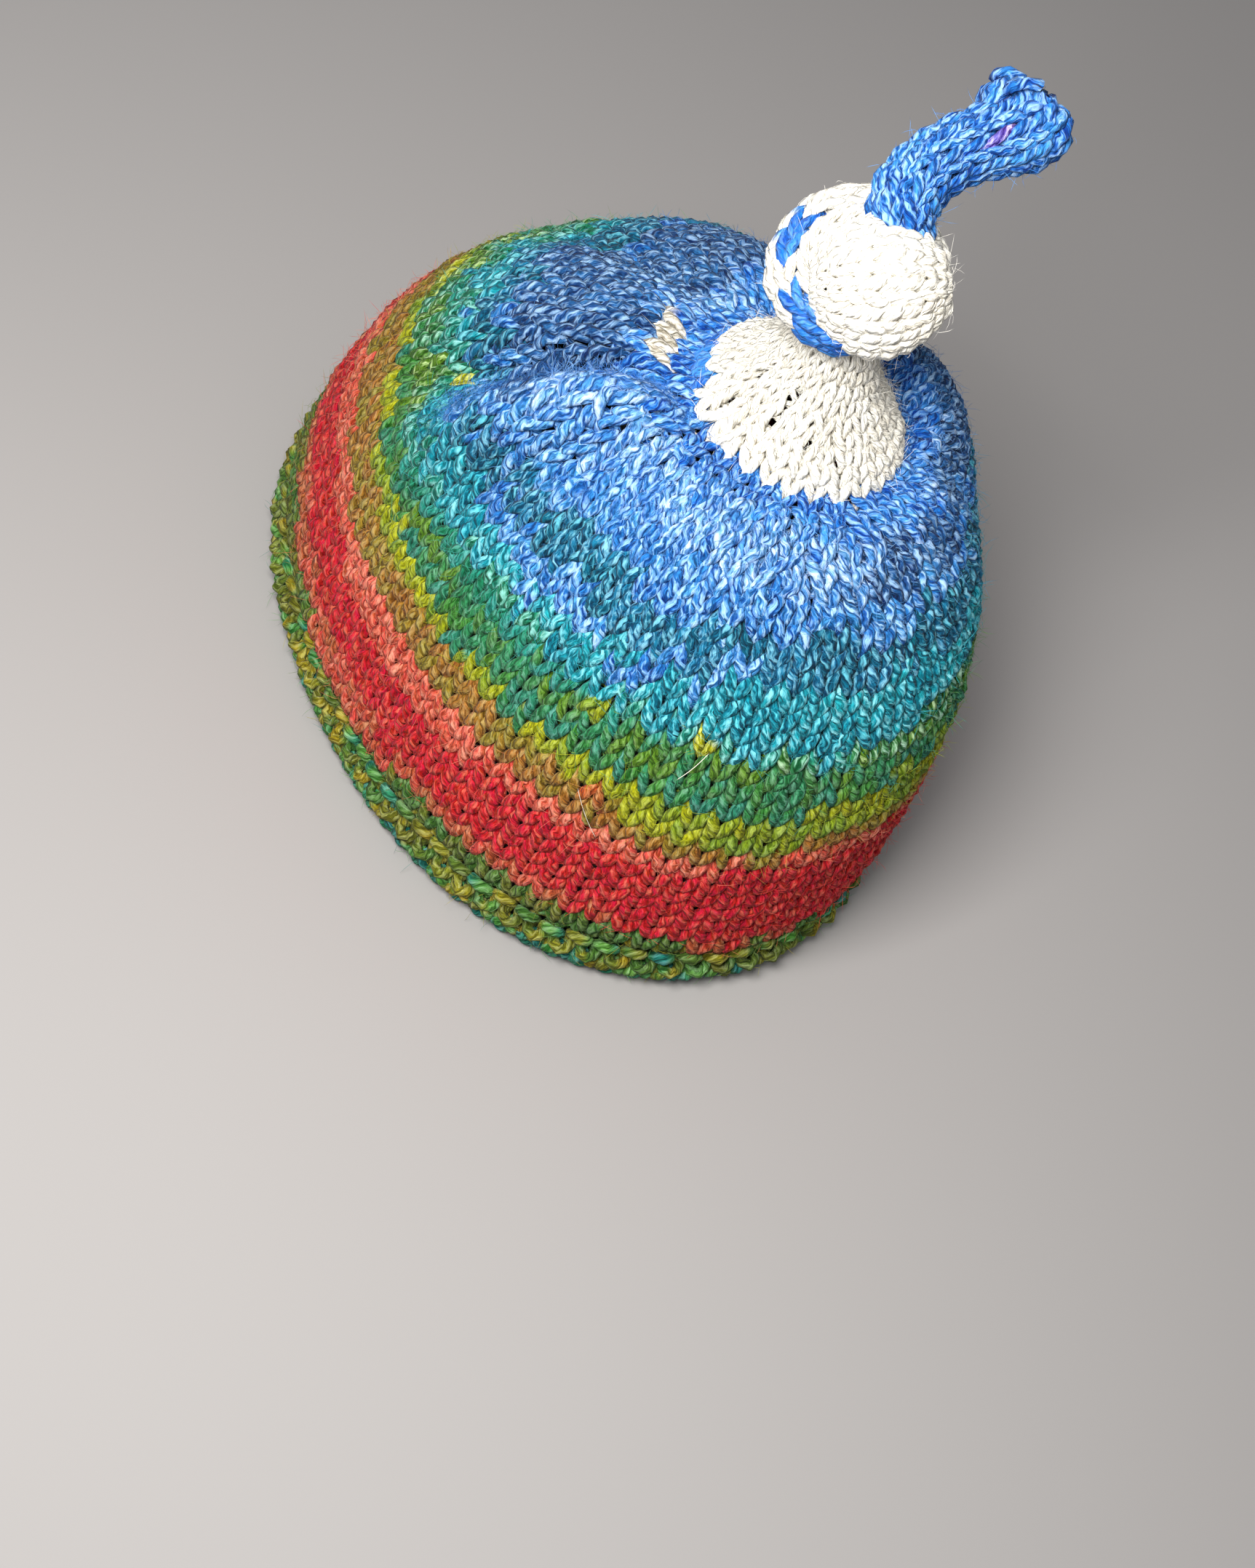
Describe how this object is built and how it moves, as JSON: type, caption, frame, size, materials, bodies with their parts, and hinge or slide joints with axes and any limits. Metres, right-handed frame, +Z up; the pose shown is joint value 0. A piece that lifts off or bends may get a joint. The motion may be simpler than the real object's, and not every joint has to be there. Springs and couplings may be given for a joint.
{
  "type": "top knot beanie",
  "caption": "Hand-knitted beanie with a ridged edge, striped side, folded crown, gathered stem and a knotted cord whose free end stands up.",
  "frame": {"origin": "middle of the brim's oval, on the surface that the brim rests on", "axes": "+Z up through the crown, Y along the long way of the head with the stem leaning to -Y, X across the head"},
  "size_m": [0.1534, 0.1954, 0.201],
  "materials": {
    "edge_yarn": "green and olive plied yarn in purl bumps, matt",
    "striped_yarn": "plied yarn that changes from coral and red through tan, yellow green and green to turquoise, matt",
    "blue_yarn": "blue plied yarn flecked with pale blue, matt",
    "white_yarn": "cream white plied yarn, matt and slightly fuzzy"
  },
  "bodies": {
    "root": {"brim_edge": "edge_yarn", "striped_side": "striped_yarn", "blue_crown": "blue_yarn", "white_stem": "white_yarn", "top_knot": "white_yarn", "blue_tail": "blue_yarn"}
  },
  "joints": []
}
